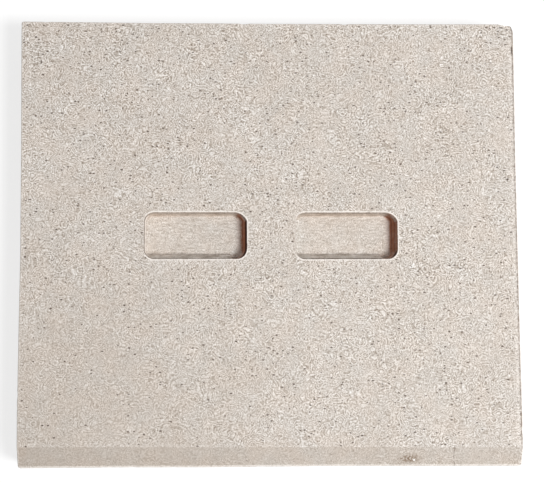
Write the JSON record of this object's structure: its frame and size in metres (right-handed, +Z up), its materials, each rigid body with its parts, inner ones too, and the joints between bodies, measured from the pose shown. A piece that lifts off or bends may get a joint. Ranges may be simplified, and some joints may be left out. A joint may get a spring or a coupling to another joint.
{
  "type": "refractory firebrick",
  "caption": "Flat fireclay lining slab with blind rounded grip recesses in its upper face and a shallow bevel along its front edge.",
  "frame": {"origin": "middle of the slab's underside, where it rests on the floor", "axes": "+X along the slab's length, to the right as the picture shows it; +Y to the back edge, away from the bevelled front edge; +Z up, out of the face with the recesses"},
  "size_m": [0.3, 0.268, 0.03],
  "materials": {
    "fireclay": "dry, matt and finely grained, pale beige grey with dark and light specks"
  },
  "bodies": {
    "root": {"firebrick": "fireclay"}
  },
  "joints": []
}
